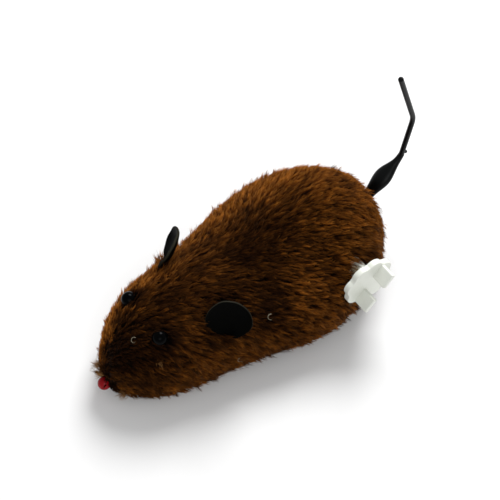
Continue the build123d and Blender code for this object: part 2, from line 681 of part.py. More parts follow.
def tail_and_bush():
    return {
        "tail": tail(),
        "tail_bush": tail_plane() * (Cylinder(BUSH_RADIUS, BUSH_LENGTH) - Cylinder(BUSH_BORE, BUSH_LENGTH)),
    }


def to_footprint_centre(shapes):
    """Move that puts the origin at the bottom centre of the box round all the shapes."""
    boxes = [shape.bounding_box() for shape in shapes]
    middle_x = (min(box.min.X for box in boxes) + max(box.max.X for box in boxes)) / 2
    middle_y = (min(box.min.Y for box in boxes) + max(box.max.Y for box in boxes)) / 2
    return Pos(-middle_x, -middle_y, -min(box.min.Z for box in boxes))


os.makedirs("parts", exist_ok=True)
groups = [
    soft_outside, eyes_and_nose, shell_halves, base_plate, base_screws, front_roller, drive_wheels,
    gear_train, ratchet_and_click, spring_and_arbor, motor_frame, winding_key, tail_and_bush,
]
parts = {}
for group in groups:
    parts.update(group())
move = to_footprint_centre(parts.values())
for name, shape in parts.items():
    export_step(move * shape, f"parts/{name}.step")
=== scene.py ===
import json
import math

import bpy
import numpy as np
from mathutils import Matrix, Vector
from mathutils.bvhtree import BVHTree


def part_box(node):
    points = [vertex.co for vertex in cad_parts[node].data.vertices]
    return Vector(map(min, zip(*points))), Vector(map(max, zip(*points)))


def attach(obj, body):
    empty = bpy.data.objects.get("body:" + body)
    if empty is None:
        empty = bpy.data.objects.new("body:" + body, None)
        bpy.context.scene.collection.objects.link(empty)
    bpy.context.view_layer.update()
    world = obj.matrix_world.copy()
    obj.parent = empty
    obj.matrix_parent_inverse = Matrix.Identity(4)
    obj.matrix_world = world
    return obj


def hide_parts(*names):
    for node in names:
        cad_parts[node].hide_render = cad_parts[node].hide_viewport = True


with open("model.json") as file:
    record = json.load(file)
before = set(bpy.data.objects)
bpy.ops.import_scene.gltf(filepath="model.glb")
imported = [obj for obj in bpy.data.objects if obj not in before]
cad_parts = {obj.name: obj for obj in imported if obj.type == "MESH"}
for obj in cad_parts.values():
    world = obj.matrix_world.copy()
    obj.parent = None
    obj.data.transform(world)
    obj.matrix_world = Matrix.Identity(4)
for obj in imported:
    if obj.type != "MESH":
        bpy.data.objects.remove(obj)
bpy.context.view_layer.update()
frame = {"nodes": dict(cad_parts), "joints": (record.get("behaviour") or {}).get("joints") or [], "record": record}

NODES = frame["nodes"]
MM = 0.001

# Local frame, in millimetres: x from the body's mid-plane, y from the middle of the cover,
# z from the floor. The nose points to -y and the key is on the +x side.
base_low, base_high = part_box("chassis_base")
cover_low, cover_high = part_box("plush_cover")
MIDDLE = np.array([(base_low.x + base_high.x) / 2, (cover_low.y + cover_high.y) / 2, 0.0])
random = np.random.default_rng(20)


def to_row(points):
    """Local millimetres to the row frame's metres."""
    return np.asarray(points, float) * MM + MIDDLE


def to_local(points):
    """The row frame's metres to local millimetres."""
    return (np.asarray(points, float) - MIDDLE) / MM


def unit(vectors):
    """The same directions with length 1."""
    vectors = np.asarray(vectors, float)
    return vectors / np.maximum(np.linalg.norm(vectors, axis=-1, keepdims=True), 1e-12)


def fade(values, start, over):
    """0 until start, then up to 1 over the next few millimetres; a negative stretch runs the other way."""
    return np.clip((values - start) / over, 0, 1)


def bell(values, middle, reach):
    """1 at the middle, falling away smoothly to both sides."""
    return np.exp(-((values - middle) / reach) ** 2)


def local_box(node):
    low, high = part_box(node)
    return to_local(low), to_local(high)


KEY_LOW, KEY_HIGH = local_box("winding_key")
AXIS_LOW, AXIS_HIGH = local_box("arbor_clip")
KEY_AXIS = (AXIS_LOW[1:] + AXIS_HIGH[1:]) / 2
KEY_RADIUS = (KEY_HIGH[2] - KEY_LOW[2]) / 2
# inner face of the key's disc
KEY_DISC_X = 23.6


# ---------------------------------------------------------------- materials

def new_material(name):
    """Empty material, its node tree and its shader."""
    made = bpy.data.materials.new(name)
    made.use_nodes = True
    return made, made.node_tree, made.node_tree.nodes["Principled BSDF"]


def node(tree, kind, inputs=None, **settings):
    """Adds a shader node. An input given as a socket is linked, anything else is a value."""
    made = tree.nodes.new(kind)
    for key, value in settings.items():
        setattr(made, key, value)
    for key, value in (inputs or {}).items():
        if isinstance(value, bpy.types.NodeSocket):
            tree.links.new(value, made.inputs[key])
        else:
            made.inputs[key].default_value = value
    return made


def ramp(tree, factor, stops):
    """Colour ramp through (position, (r, g, b)) stops."""
    made = node(tree, "ShaderNodeValToRGB", {"Fac": factor})
    elements = made.color_ramp.elements
    while len(elements) < len(stops):
        elements.new(0.5)
    for element, (position, colour) in zip(elements, stops):
        element.position = position
        element.color = (*colour, 1)
    return made.outputs["Color"]


def noise(tree, scale, detail=4.0, roughness=0.55):
    """Noise in the object's own coordinates; scale is in features per metre."""
    place = node(tree, "ShaderNodeTexCoord").outputs["Object"]
    return node(tree, "ShaderNodeTexNoise", {
        "Vector": place, "Scale": scale, "Detail": detail, "Roughness": roughness,
    }).outputs["Fac"]


def bump(tree, shader, height, strength, distance):
    """Gives a shader a surface relief; distance is in metres."""
    made = node(tree, "ShaderNodeBump", {"Height": height, "Strength": strength, "Distance": distance})
    tree.links.new(made.outputs["Normal"], shader.inputs["Normal"])


def spread(tree, factor, low, high):
    """Maps the middle half of 0..1, where most of a noise lies, onto low..high."""
    return node(tree, "ShaderNodeMapRange", {
        "Value": factor, "From Min": 0.25, "From Max": 0.75, "To Min": low, "To Max": high,
    }).outputs["Result"]


def moulded(name, dark, light, roughness, grain=2500.0, depth=0.00003, gloss=0.5, metallic=0.0):
    """Plastic or metal with faint colour clouds, uneven gloss and a fine surface grain."""
    made, tree, shader = new_material(name)
    clouds = noise(tree, 90.0)
    tree.links.new(ramp(tree, clouds, [(0.3, dark), (0.7, light)]), shader.inputs["Base Color"])
    fine = noise(tree, grain, 6.0)
    tree.links.new(spread(tree, fine, roughness - 0.06, roughness + 0.08), shader.inputs["Roughness"])
    bump(tree, shader, fine, 0.35, depth)
    shader.inputs["Specular IOR Level"].default_value = gloss
    shader.inputs["Metallic"].default_value = metallic
    return made


def fur_material():
    """Colour runs from root to tip along v, and from dark strands to light ones along u."""
    made, tree, shader = new_material("plush_pile")
    place = node(tree, "ShaderNodeUVMap", uv_map="OFBake").outputs["UV"]
    parts = node(tree, "ShaderNodeSeparateXYZ", {"Vector": place})
    dark = ramp(tree, parts.outputs["Y"], [
        (0.0, (0.002, 0.0008, 0.0003)), (0.45, (0.007, 0.0022, 0.0005)), (0.8, (0.018, 0.0055, 0.0010)),
        (1.0, (0.045, 0.015, 0.0025)),
    ])
    light = ramp(tree, parts.outputs["Y"], [
        (0.0, (0.007, 0.0022, 0.0006)), (0.4, (0.080, 0.023, 0.0030)), (0.8, (0.36, 0.115, 0.013)),
        (1.0, (0.68, 0.280, 0.052)),
    ])
    mixed = node(tree, "ShaderNodeMix", {0: parts.outputs["X"], 6: dark, 7: light}, data_type="RGBA")
    tree.links.new(mixed.outputs[2], shader.inputs["Base Color"])
    shader.inputs["Roughness"].default_value = 0.6
    shader.inputs["Specular IOR Level"].default_value = 0.05
    return made


def cloth_material(name, dark, light, scale):
    """Knitted backing cloth: two crossed sets of fine ribs, darker between them."""
    made, tree, shader = new_material(name)
    place = node(tree, "ShaderNodeTexCoord").outputs["Object"]
    ribs = [
        node(tree, "ShaderNodeTexWave", {"Vector": place, "Scale": scale, "Distortion": 1.5, "Detail": 2.0},
             bands_direction=direction).outputs["Fac"]
        for direction in ("X", "Y")
    ]
    weave = node(tree, "ShaderNodeMath", {0: ribs[0], 1: ribs[1]}, operation="MULTIPLY").outputs["Value"]
    tree.links.new(ramp(tree, weave, [(0.0, dark), (0.8, light)]), shader.inputs["Base Color"])
    shader.inputs["Roughness"].default_value = 0.9
    shader.inputs["Specular IOR Level"].default_value = 0.03
    bump(tree, shader, weave, 0.6, 0.0002)
    return made


# ---------------------------------------------------------------- meshes

def add_object(name, mesh, body, material):
    """Piece with one material or a list of them, riding on a body."""
    piece = bpy.data.objects.new(name, mesh)
    bpy.context.scene.collection.objects.link(piece)
    for one in material if isinstance(material, list) else [material]:
        mesh.materials.append(one)
    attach(piece, body)
    return piece


def mesh_from(name, points, faces):
    """Smooth-shaded mesh from local millimetre points."""
    mesh = bpy.data.meshes.new(name)
    mesh.from_pydata([tuple(p) for p in to_row(points)], [], [tuple(int(i) for i in f) for f in faces])
    mesh.validate()
    mesh.shade_smooth()
    return mesh


def grid_faces(rows, columns, wrap=False):
    """Quads of a rows x columns grid of points; wrap joins the last column to the first."""
    faces = []
    for row in range(rows - 1):
        for column in range(columns if wrap else columns - 1):
            after = (column + 1) % columns
            faces.append((row * columns + column, row * columns + after,
                          (row + 1) * columns + after, (row + 1) * columns + column))
    return faces


# ---------------------------------------------------------------- body surface

# Rays that find the body run in towards a line at this height, straight in along its middle and
# in a fan round each end.
CAPSULE_FRONT = -31.0
CAPSULE_BACK = 28.0
CAPSULE_HEIGHT = 11.0
FAN_ROWS = 18
FAN_TILT = 89.0
MIDDLE_ROWS = 60
COLUMNS = 101
RAY_START = 70.0
# a longer ray has gone through a hole into the inside
LONGEST_RAY = 63.0
# least cosine between a ray and the face that it meets
GRAZING = 0.02
# the flank ends where its faces turn down more than this, or at the last angle if there is none
FLANK_TURN_DOWN = -0.6
EDGE_IF_NONE = 100.0
FILL_ROUNDS = 400

# Depth of the cloth under the pile's outer surface, on the face and behind it.
SKIN_DEPTH_BODY = 1.25
SKIN_DEPTH_FACE = 0.95
SKIN_DEPTH_LEAST = 0.15
FACE_END = -44.0
FACE_FADE = 16.0
CLOTH_THICKNESS = 0.3
CLOTH_TO_SHELL = 0.2
SHELL_SEARCH = 4.0

# The flanks are drawn in at the waist: depth, place, reach, and the height where it starts and its fade.
WAIST_DEPTH = 1.1
WAIST_Y = -7.0
WAIST_REACH = 9.0
WAIST_TOP = 15.0
WAIST_FADE = 8.0

# The cloth's lip: how far it hangs, its lowest height, how it is drawn in under the shell, and its rise.
LIP_DROP = 0.2
LIP_LOWEST = 1.55
LIP_INWARD = (0.745, 0.87, 1.0)
LIP_RISE = 0.35


def body_rays():
    """Place along the body and tilt of each row of rays, from the nose to the tail."""
    tilts = np.linspace(FAN_TILT, 0.0, FAN_ROWS, endpoint=False)
    rows = [(CAPSULE_FRONT, -math.radians(t)) for t in tilts]
    rows += [(y, 0.0) for y in np.linspace(CAPSULE_FRONT, CAPSULE_BACK, MIDDLE_ROWS)]
    rows += [(CAPSULE_BACK, math.radians(t)) for t in tilts[::-1]]
    return rows


# How near a hit on the cover may come to a part that is let into it, in millimetres: anything
# nearer is the wall of that part's socket and not the outside of the cover.
SOCKETS = {
    "eye_left": 0.5,
    "eye_right": 0.5,
    "nose_bead": 0.5,
    "ear_left": 0.4,
    "ear_right": 0.4,
    "tail": 2.3,
}
# the same round the key's axis, for the cover and for the shell
KEY_SOCKET = 5.2
SHELL_KEY_SOCKET = 3.7
# from the shell up to the pile's outer surface
SHELL_DEPTH = 2.45
KEY_SIDE_X = 10.0
FAR_AWAY = 99.0


def node_tree(*names):
    """Search tree over the faces of one or more CAD nodes."""
    points, faces = [], []
    for name in names:
        mesh = NODES[name].data
        faces += [tuple(i + len(points) for i in face.vertices) for face in mesh.polygons]
        points += [vertex.co.copy() for vertex in mesh.vertices]
    return BVHTree.FromPolygons(points, faces)


SOCKET_TREES = [(node_tree(name), margin * MM) for name, margin in SOCKETS.items()]
SHELL_TREE = node_tree("shell_left", "shell_right")


def off_key_axis(points):
    """Distance from the key's axis on the key's side of the body; far away on the other side."""
    distance = np.hypot(points[..., 1] - KEY_AXIS[0], points[..., 2] - KEY_AXIS[1])
    return np.where(points[..., 0] > KEY_SIDE_X, distance, FAR_AWAY)


def find_surface(surface, y, tilt, turn):
    """First point met from outside and its normal; None in a hole or on its wall."""
    tree, key_margin = surface
    out = np.array([math.cos(tilt) * math.sin(turn), math.sin(tilt), math.cos(tilt) * math.cos(turn)])
    start = np.array([0.0, y, CAPSULE_HEIGHT]) + out * RAY_START
    hit, normal, _, _ = tree.ray_cast(Vector(to_row(start)), Vector(-out), LONGEST_RAY * MM)
    if hit is None or normal.dot(Vector(out)) < GRAZING:
        return None, None
    if off_key_axis(to_local(hit)) < key_margin:
        return None, None
    if any(socket.find_nearest(hit)[3] < margin for socket, margin in SOCKET_TREES):
        return None, None
    return to_local(hit), np.array(normal)


def lower_edge(surface, y, tilt):
    """Largest turn from the top at which the ray still meets the flank."""
    for degrees in np.arange(180.0, 80.0, -1.0):
        point, normal = find_surface(surface, y, tilt, math.radians(degrees))
        if point is not None and normal[2] > FLANK_TURN_DOWN:
            return math.radians(degrees)
    return math.radians(EDGE_IF_NONE)


def neighbour_sum(values):
    """Sum over each grid point's four neighbours; past the grid's edge its own rim is repeated."""
    rows, columns = values.shape[:2]
    padded = np.pad(values, ((1, 1), (1, 1), (0, 0)), mode="edge")
    return sum(padded[r:r + rows, c:c + columns] for r, c in ((0, 1), (2, 1), (1, 0), (1, 2)))


def fill_gaps(points):
    """Replaces missing grid points by repeated averaging of their neighbours."""
    missing = np.isnan(points[..., 0])
    filled = np.where(missing[..., None], 0.0, points)
    weight = np.where(missing, 0.0, 1.0)[..., None]
    for _ in range(FILL_ROUNDS):
        total = neighbour_sum(filled * weight)
        count = neighbour_sum(weight)
        ready = missing & (count[..., 0] > 0)
        filled[ready] = (total / np.maximum(count, 1e-9))[ready]
        weight[ready] = 1.0
    return filled


def smooth_grid(points, rounds):
    """Moves the inner grid points half-way to the average of their neighbours, in place."""
    for _ in range(rounds):
        inner = (points[:-2, 1:-1] + points[2:, 1:-1] + points[1:-1, :-2] + points[1:-1, 2:]) / 4
        points[1:-1, 1:-1] = 0.5 * points[1:-1, 1:-1] + 0.5 * inner
    return points


def grid_normals(points):
    """Outward normals of the grid of points."""
    along = np.gradient(points, axis=0)
    around = np.gradient(points, axis=1)
    normals = unit(np.cross(around, along))
    centre = np.array([0.0, 0.0, CAPSULE_HEIGHT])
    facing = np.sum(normals * (points - centre), axis=-1, keepdims=True)
    return normals * np.sign(np.median(facing))


def body_grid():
    """The pile's outer surface. Over a socket it is carried on from the shell underneath."""
    cover = (node_tree("plush_cover"), KEY_SOCKET)
    shell = (SHELL_TREE, SHELL_KEY_SOCKET)
    rows = body_rays()
    points = np.full((len(rows), COLUMNS, 3), np.nan)
    for r, (y, tilt) in enumerate(rows):
        edge = lower_edge(cover, y, tilt)
        for c in range(COLUMNS):
            turn = edge * (2 * c / (COLUMNS - 1) - 1)
            found, _ = find_surface(cover, y, tilt, turn)
            if found is None:
                found, normal = find_surface(shell, y, tilt, turn)
                if found is not None:
                    found = found + normal * SHELL_DEPTH
            if found is not None:
                points[r, c] = found
    return smooth_grid(fill_gaps(points), 3)


def skin_depths(outer, normals):
    """How far the cloth lies under the pile's outer surface: less on the face and over the shell."""
    share = fade(outer[..., 1], FACE_END, FACE_FADE)
    depths = SKIN_DEPTH_FACE + (SKIN_DEPTH_BODY - SKIN_DEPTH_FACE) * share
    for index in np.ndindex(depths.shape):
        start = Vector(to_row(outer[index]))
        hit, _, _, distance = SHELL_TREE.ray_cast(start, Vector(-normals[index]), SHELL_SEARCH * MM)
        if hit is not None:
            room = distance / MM - CLOTH_THICKNESS - CLOTH_TO_SHELL
            depths[index] = min(depths[index], max(room, SKIN_DEPTH_LEAST))
    return depths[..., None]


def narrow_waist(outer, normals):
    """The plush is drawn in a little low on the flanks, between the cheeks and the wheels."""
    along = bell(outer[..., 1], WAIST_Y, WAIST_REACH)
    low = fade(outer[..., 2], WAIST_TOP, -WAIST_FADE)
    return outer - normals * (WAIST_DEPTH * along * low)[..., None]


OUTER = body_grid()
NORMALS = grid_normals(OUTER)
OUTER = narrow_waist(OUTER, NORMALS)
CLOTH = smooth_grid(OUTER - NORMALS * skin_depths(OUTER, NORMALS), 1)


def plush_cloth():
    """The cover's cloth: flanks and back from the grid, with a lip turned in under the shell."""
    rows, columns = CLOTH.shape[:2]
    lip = []
    for side in (0, -1):
        corner = CLOTH[:, side].copy()
        corner[:, 2] = np.maximum(corner[:, 2] - LIP_DROP, LIP_LOWEST)
        inner = corner * np.array(LIP_INWARD)
        inner[:, 2] = corner[:, 2] + LIP_RISE
        lip.append((corner, inner))
    points = np.concatenate([
        lip[0][1][:, None], lip[0][0][:, None], CLOTH, lip[1][0][:, None], lip[1][1][:, None],
    ], axis=1)
    mesh = mesh_from("plush_cloth", points.reshape(-1, 3), grid_faces(rows, columns + 4))
    material = cloth_material("plush_cloth", (0.006, 0.003, 0.0015), (0.02, 0.009, 0.004), 260.0)
    piece = add_object("plush_cloth", mesh, "chassis", material)
    solid = piece.modifiers.new("thickness", "SOLIDIFY")
    solid.thickness = CLOTH_THICKNESS * MM
    solid.offset = -1
    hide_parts("plush_cover")


def nearest_on_body(place):
    """Nearest point of the pile's outer surface, with its outward normal."""
    flat = OUTER.reshape(-1, 3)
    index = np.argmin(np.linalg.norm(flat - np.asarray(place), axis=1))
    return flat[index], NORMALS.reshape(-1, 3)[index]


def plate_axes(node_name):
    """Centre, width, height and outward directions, and half width and height of a flat CAD ear."""
    mesh = NODES[node_name].data
    points = to_local(np.array([v.co for v in mesh.vertices]))
    centre = (points.min(0) + points.max(0)) / 2
    _, _, axes = np.linalg.svd(points - points.mean(0), full_matrices=False)
    normal = axes[2] if axes[2][1] < 0 else -axes[2]
    height = unit(np.array([0.0, 0.0, 1.0]) - normal[2] * normal)
    width = np.cross(height, normal)
    reach = [(np.abs((points - centre) @ axis)).max() for axis in (width, height)]
    return centre, width, height, normal, reach


# ---------------------------------------------------------------- pile

# All sizes are in millimetres, and angles in degrees except where radians are named.
CLUMPS_PER_MM2 = 1.3
STRANDS_PER_CLUMP = 8
STRANDS_PER_PIECE = 12000
LOCK_HALF_LENGTH = 0.7
LOCK_HALF_WIDTH = 0.45

# A strand's radius at its root, its rings as shares of its length, and its width at each.
STRAND_RADIUS = 0.085
STRAND_RADIUS_SPREAD = (0.75, 1.35)
STRAND_STEPS = (0.0, 0.38, 0.72, 1.0)
STRAND_WIDTHS = (1.0, 0.95, 0.62, 0.12)

# Strands are shorter on the face, and longer round the key and beside the ears.
STRAND_LENGTH = 3.7
LENGTH_SPREAD = (0.75, 1.18)
FACE_LENGTH = 0.62
FACE_LENGTH_Y = -47.0
FACE_LENGTH_FADE = 20.0
KEY_EXTRA_LENGTH = 0.3
KEY_REACH = 2.5
KEY_REACH_FADE = 4.0
EAR_EXTRA_LENGTH = 0.15

# Strands leave the cloth at ROOT_RISE and lie down towards their tips; those by the key and the
# ears stand up again, and a few locks stray.
ROOT_RISE = 38
RISE_FALL = 40
RISE_SPREAD = 5
STAND_UP = 45
EAR_STAND_UP_SHARE = 0.7
STRAY_SHARE = 0.08
STRAY_RISE = 24.0

# Spread of the turn away from the lay, for a lock and for a strand in it, in radians, the spread
# of a lock's bend, and how far its strands draw together.
LOCK_TURN = 0.22
STRAND_TURN = 0.07
LOCK_BEND = 0.35
LOCK_GATHER = (0.7, 1.0)

# The lay: its turn to the key's side at mid-body, how that grows with x and its limits, its turn
# down on the flanks, the share of random swirl with each swirl's seed and size, and the nose's reach.
LAY_ASIDE = 0.5
LAY_ASIDE_PER_MM = 0.055
LAY_ASIDE_LIMITS = (-0.5, 0.95)
LAY_DOWN = 1.05
SWIRL = 0.2
SWIRL_WAVES = ((3, 26.0), (4, 30.0), (5, 22.0))
NOSE_REACH = 9.0

# Room kept for other parts.
UNDER_KEY = 0.7
KEY_DISC_GAP = 0.35
FLOOR_GAP = 0.35
KEY_HOLE_AT_ROOT = 3.3
KEY_HOLE_AT_TIP = 2.9
TAIL_CLEARANCE = 0.3
TAIL_TURNS = 7
TAIL_ROOT_Y = 36
TAIL_ROOT_HALF_WIDTH = 8

# Places before an ear, as a share of its half size and as distances behind and in front of it, and
# the way in which the effect of an ear's rim falls off.
EAR_FACE = 0.8
EAR_BEHIND = 0.6
EAR_IN_FRONT = 2.4
EAR_RIM_EFFECT = 1.5
EAR_RIM_FADE = 2.5

# Room round a bead, in its radii: where no strand has its root, where the others are pushed to, and
# how far below and above the bead's middle.
BEAD_ROOTS = 0.8
BEAD_ROOT_HEIGHT = 2
BEAD_RIM = (0.85, 1.1)
BEAD_BELOW = 0.5
BEAD_ABOVE = 3
# how many outer points of a bead its sphere is fitted to, and where its stem starts, in its radii
BALL_POINTS = 400
STEM_FROM = 1.3


def scatter_clumps():
    """Random places over the cloth, the same number on each square millimetre."""
    quads = np.stack([CLOTH[:-1, :-1], CLOTH[1:, :-1], CLOTH[1:, 1:], CLOTH[:-1, 1:]], axis=2)
    diagonals = np.cross(quads[..., 2, :] - quads[..., 0, :], quads[..., 3, :] - quads[..., 1, :])
    area = np.linalg.norm(diagonals, axis=-1) / 2
    count = np.floor(area * CLUMPS_PER_MM2 + random.random(area.shape)).astype(int)
    row, column = np.nonzero(count)
    repeat = count[row, column]
    row, column = np.repeat(row, repeat), np.repeat(column, repeat)
    u, v = random.random((2, len(row), 1))
    corners = [(row, column), (row + 1, column), (row + 1, column + 1), (row, column + 1)]
    weights = [(1 - u) * (1 - v), u * (1 - v), u * v, (1 - u) * v]
    places = sum(w * CLOTH[r, c] for w, (r, c) in zip(weights, corners))
    normals = unit(sum(w * NORMALS[r, c] for w, (r, c) in zip(weights, corners)))
    return places, normals


def waves(points, seed, size):
    """Smooth random field, about -1..1, made of a few sine waves of the given size in mm."""
    made = np.random.default_rng(seed)
    total = np.zeros(len(points))
    for _ in range(7):
        direction = unit(made.normal(size=3)) * made.uniform(0.6, 1.5) * 2 * math.pi / size
        total += np.sin(points @ direction + made.uniform(0, 2 * math.pi))
    return total / 3.0


def strand_rings(steps):
    """Share of a strand's full width at each ring, from the root up; the tip has none."""
    return np.interp(steps[:-1], STRAND_STEPS, STRAND_WIDTHS)


def bead_ball(node_name):
    """Centre and radius of a bead on a stem, and the direction in which it looks out of the pile."""
    points = to_local(np.array([v.co for v in NODES[node_name].data.vertices]))
    from_body = np.linalg.norm(points - np.array([0.0, 0.0, CAPSULE_HEIGHT]), axis=1)
    ball = points[np.argsort(from_body)[-BALL_POINTS:]]
    system = np.concatenate([2 * ball, np.ones((len(ball), 1))], axis=1)
    found = np.linalg.lstsq(system, np.sum(ball ** 2, axis=1), rcond=None)[0]
    centre = found[:3]
    radius = math.sqrt(found[3] + centre @ centre)
    stem = points[np.linalg.norm(points - centre, axis=1) > STEM_FROM * radius]
    return centre, radius, unit(centre - stem.mean(0))


BEAD_BALLS = {name: bead_ball(name) for name in ("eye_left", "eye_right", "nose_bead")}


def comb(places, normals):
    """Lay of the pile: backwards and over to the key's side, down the flanks, and away from the nose."""
    steep = np.clip(1 - normals[:, 2], 0, 1)
    lay = np.zeros_like(places)
    lay[:, 0] = np.clip(LAY_ASIDE + LAY_ASIDE_PER_MM * places[:, 0], *LAY_ASIDE_LIMITS)
    lay[:, 1] = 1.0
    lay[:, 2] = -LAY_DOWN * steep
    lay += SWIRL * np.stack([waves(places, seed, size) for seed, size in SWIRL_WAVES], axis=1)
    from_nose = places - BEAD_BALLS["nose_bead"][0]
    share = bell(np.linalg.norm(from_nose, axis=1), 0, NOSE_REACH)[:, None]
    lay = (1 - share) * unit(lay) + share * unit(from_nose)
    lay -= normals * np.sum(lay * normals, axis=1, keepdims=True)
    return unit(lay)


# Patches where the plush is darker or lighter, partly its own tone and partly painted light and shade: middle,
# radius, natural logarithm of the change.
TONE_AND_PAINTED_LIGHT_PATCHES = [
    ((1, -32, 27), 9, -1.1),
    ((0, 9, 28), 9, -1.2),
    ((14, -1, 24), 6, -1.2),
    ((21, 8, 20), 9, 0.4),
    # painted rim light on the far side of the snout
    ((-6, -44, 15), 6.5, 2.4),
    ((2, -41, 20), 5.5, -0.9),
    ((-9, 7, 27), 6, -0.6),
    ((17, -5, 19), 7, -0.55),
    ((3, -10, 28), 6, 0.4),
    # painted shadow beside the key's disc
    ((19, 28, 25), 4.5, -1.2),
    ((14, 5, 24), 5, 1.0),
    ((-2, 43, 27), 7, 0.8),
    ((12, -37, 7), 5, 0.7),
    ((14, 31, 16), 9, -0.6),
    ((10, -38, 17), 6, -0.7),
    ((-10, -8, 25), 9, -0.55),
    ((5, -22, 27), 6, -0.5),
]


# The tint away from the patches: 0 dark to 1 light.
TINT = 0.42
LEAST_TINT = 0.03
# painted light: the pile is lighter on top of the rump, where the lamp from behind and above falls
RUMP_TOP_PAINTED_LIGHT = 0.22
FACE_DARKER = 0.28
# painted shade: the pile is darker on top in the dip of the back between head and rump
BACK_DIP_PAINTED_SHADE = 0.24
CROWN_DARKER = 0.14
# painted rim light: the pile on the side away from the key is lighter, as where light from behind catches its edge
FAR_SIDE_PAINTED_RIM_LIGHT = 0.6
# painted shadow: the pile round each bead is darker, as in the shade of its socket
BEAD_PAINTED_SHADOW = 0.6


def tint_with_painted_light(places, normals):
    """Tint of the pile: clouds, painted light on top of the rump, a painted rim light on the far side, a darker
    face and crown, painted shade in the dip of the back and round the beads, and patches of tone with painted
    light and shade.
    """
    y, z = places[:, 1], places[:, 2]
    tint = TINT + 0.12 * waves(places, 8, 14.0) + 0.10 * waves(places, 9, 5.0)
    # painted light on top of the rump
    tint += RUMP_TOP_PAINTED_LIGHT * fade(y, 5, 30) * fade(z, 8, 14)
    tint -= FACE_DARKER * fade(y, -30, -9)
    top = fade(z, 15, 8)
    # painted shade in the dip of the back
    tint -= BACK_DIP_PAINTED_SHADE * bell(y, -2, 9) * top
    tint -= CROWN_DARKER * bell(y, -19, 9) * top
    # painted rim light on the far side
    tint += FAR_SIDE_PAINTED_RIM_LIGHT * np.clip(-1.3 * normals[:, 0] - 0.2, 0, 1)
    # painted shadow round the beads
    for centre, radius, _ in BEAD_BALLS.values():
        tint -= BEAD_PAINTED_SHADOW * fade(np.linalg.norm(places - centre, axis=1), radius + 1.6, -1.2)
    change = sum(amount * np.exp(-np.sum((places - np.array(middle)) ** 2, axis=1) / radius ** 2)
                 for middle, radius, amount in TONE_AND_PAINTED_LIGHT_PATCHES)
    return np.maximum(tint, LEAST_TINT) * np.exp(change)


def keep_clear(points):
    """Holds strands off the key's disc and the floor, in place."""
    under_key = off_key_axis(points) < KEY_RADIUS + UNDER_KEY
    held = np.minimum(points[..., 0], KEY_DISC_X - KEY_DISC_GAP)
    points[..., 0] = np.where(under_key, held, points[..., 0])
    points[..., 2] = np.maximum(points[..., 2], FLOOR_GAP)
    return points


def ear_frame(points, node_name):
    """Distance from an ear's centre as a share of its half size, height above its face, half height."""
    centre, width, height, normal, (half_width, half_height) = plate_axes(node_name)
    from_centre = points - centre
    off_centre = np.hypot(from_centre @ width / half_width, from_centre @ height / half_height)
    return off_centre, from_centre @ normal, half_height


def beside_ears(places):
    """1 at the rim of an ear, falling to 0 a few millimetres away."""
    closeness = np.zeros(len(places))
    for node_name in ("ear_left", "ear_right"):
        off_centre, ahead, half_height = ear_frame(places, node_name)
        gap = np.hypot((off_centre - 1) * half_height, ahead)
        closeness = np.maximum(closeness, np.clip(EAR_RIM_EFFECT - gap / EAR_RIM_FADE, 0, 1))
    return closeness


def strand_lines(places, normals):
    """Centre lines of every strand: locks drawn out along the lay, each closing to a point."""
    clumps = len(places)
    each = STRANDS_PER_CLUMP
    lay = comb(places, normals)
    aside = np.cross(normals, lay)
    along = random.uniform(-1, 1, (clumps, each)) * LOCK_HALF_LENGTH
    across = random.uniform(-1, 1, (clumps, each)) * LOCK_HALF_WIDTH
    roots = places[:, None] + along[..., None] * lay[:, None] + across[..., None] * aside[:, None]
    by_key = fade(off_key_axis(places), KEY_RADIUS + KEY_REACH, -KEY_REACH_FADE)
    by_ear = beside_ears(places)
    off_face = fade(places[:, 1], FACE_LENGTH_Y, FACE_LENGTH_FADE)
    length = STRAND_LENGTH * (FACE_LENGTH + (1 - FACE_LENGTH) * off_face) * (1 + KEY_EXTRA_LENGTH * by_key)
    length = (length * (1 + EAR_EXTRA_LENGTH * by_ear))[:, None]
    length = length * random.uniform(*LENGTH_SPREAD, (clumps, each))
    turn = random.normal(0, LOCK_TURN, (clumps, 1)) + random.normal(0, STRAND_TURN, (clumps, each))
    bend = random.normal(0, LOCK_BEND, (clumps, 1))
    rise = random.normal(0, RISE_SPREAD, (clumps, 1)) + random.normal(0, RISE_SPREAD, (clumps, each))
    rise = np.radians(rise) + np.radians(STRAY_RISE) * (random.random((clumps, 1)) < STRAY_SHARE)
    gather = random.uniform(*LOCK_GATHER, (clumps, 1))
    standing = np.maximum(by_key, EAR_STAND_UP_SHARE * by_ear)[:, None]
    lines = [roots]
    for start, end in zip(STRAND_STEPS[:-1], STRAND_STEPS[1:]):
        middle = (start + end) / 2
        lift = np.radians(ROOT_RISE - RISE_FALL * middle) + rise + np.radians(STAND_UP) * middle * standing
        course = turn + bend * (middle - 0.5) * 2
        heading = np.cos(course)[..., None] * lay[:, None] + np.sin(course)[..., None] * aside[:, None]
        step = (length * (end - start))[..., None]
        forward = np.cos(lift)[..., None] * heading + np.sin(lift)[..., None] * normals[:, None]
        pull = -(across * gather * (end - start))[..., None] * aside[:, None]
        lines.append(lines[-1] + step * forward + pull)
    lines = np.stack(lines, axis=2)
    return lines.reshape(-1, len(STRAND_STEPS), 3), np.repeat(normals, each, axis=0)


